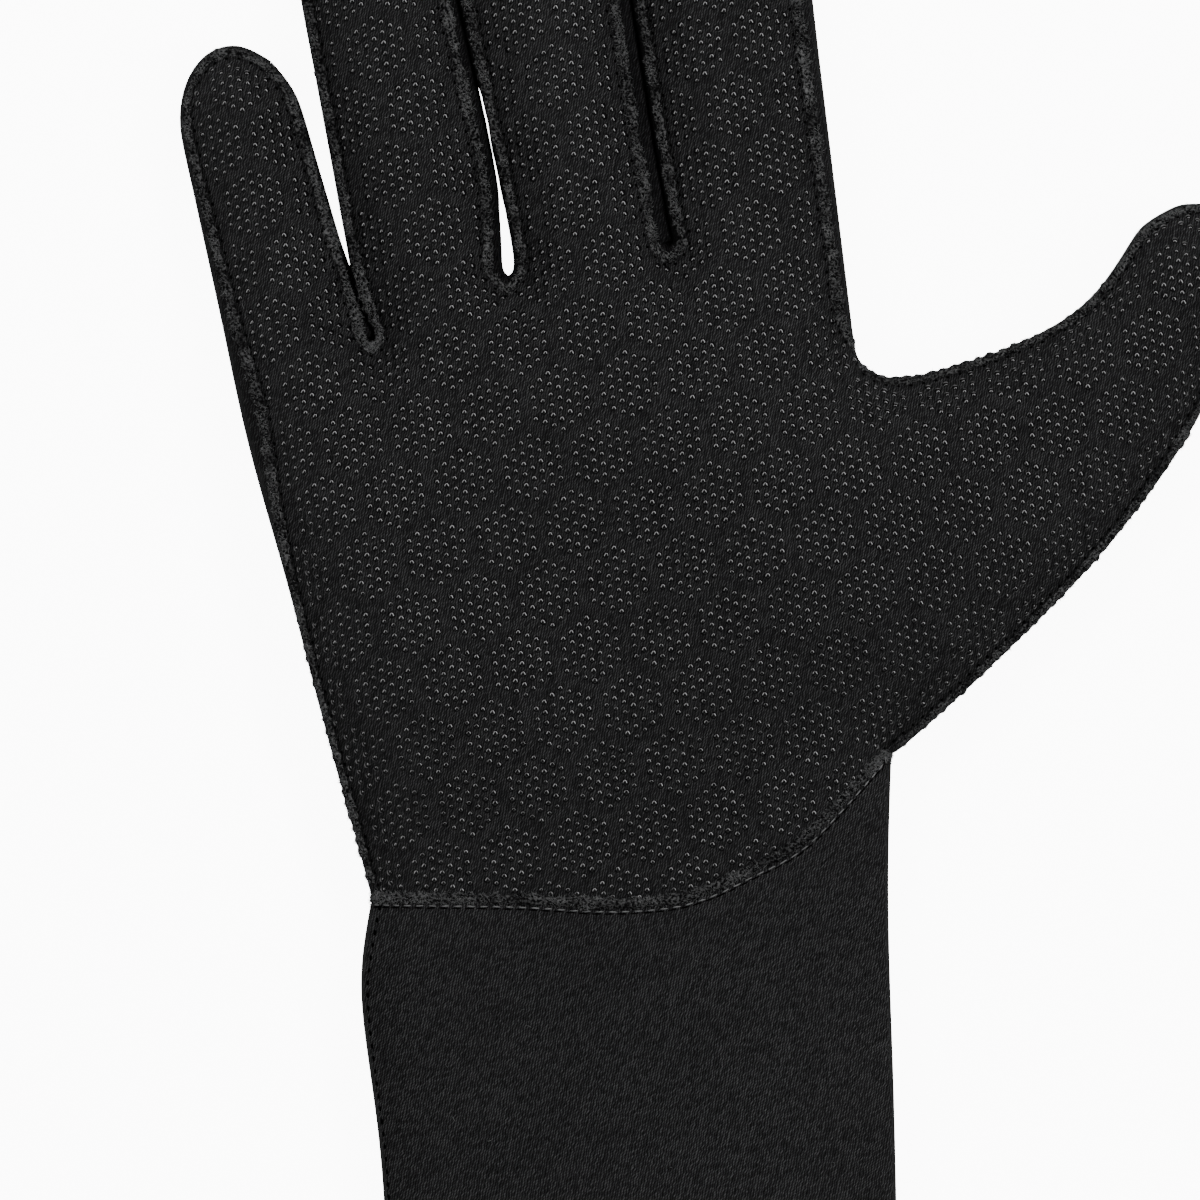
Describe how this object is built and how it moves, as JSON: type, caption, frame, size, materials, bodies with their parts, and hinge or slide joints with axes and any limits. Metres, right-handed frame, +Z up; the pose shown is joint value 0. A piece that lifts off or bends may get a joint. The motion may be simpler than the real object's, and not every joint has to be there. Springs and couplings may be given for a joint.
{
  "type": "neoprene glove",
  "caption": "Long-cuffed neoprene glove for one hand, with a dotted grip print on palm, fingers and thumb, lying empty with its palm up.",
  "frame": {"origin": "middle of the bounding box in plan, at the level of the flat underside that the glove lies on", "axes": "+X towards the thumb, +Y towards the fingertips, +Z up out of the palm"},
  "size_m": [0.18, 0.246, 0.0212],
  "materials": {
    "printed_neoprene": "smooth black knit face with raised silicone dots in hexagon clusters",
    "plain_neoprene": "smooth black knit face",
    "cuff_knit": "black jersey knit with fine vertical wales",
    "raw_edge": "fuzzy charcoal cut edges"
  },
  "bodies": {
    "root": {"palm_panel": "printed_neoprene", "back_panel": "plain_neoprene", "fourchette_pinky_ring": "plain_neoprene", "fourchette_ring_middle": "plain_neoprene", "fourchette_middle_index": "plain_neoprene", "cuff": "cuff_knit", "palm_seam": "raw_edge", "wrist_seam": "raw_edge"}
  },
  "joints": []
}
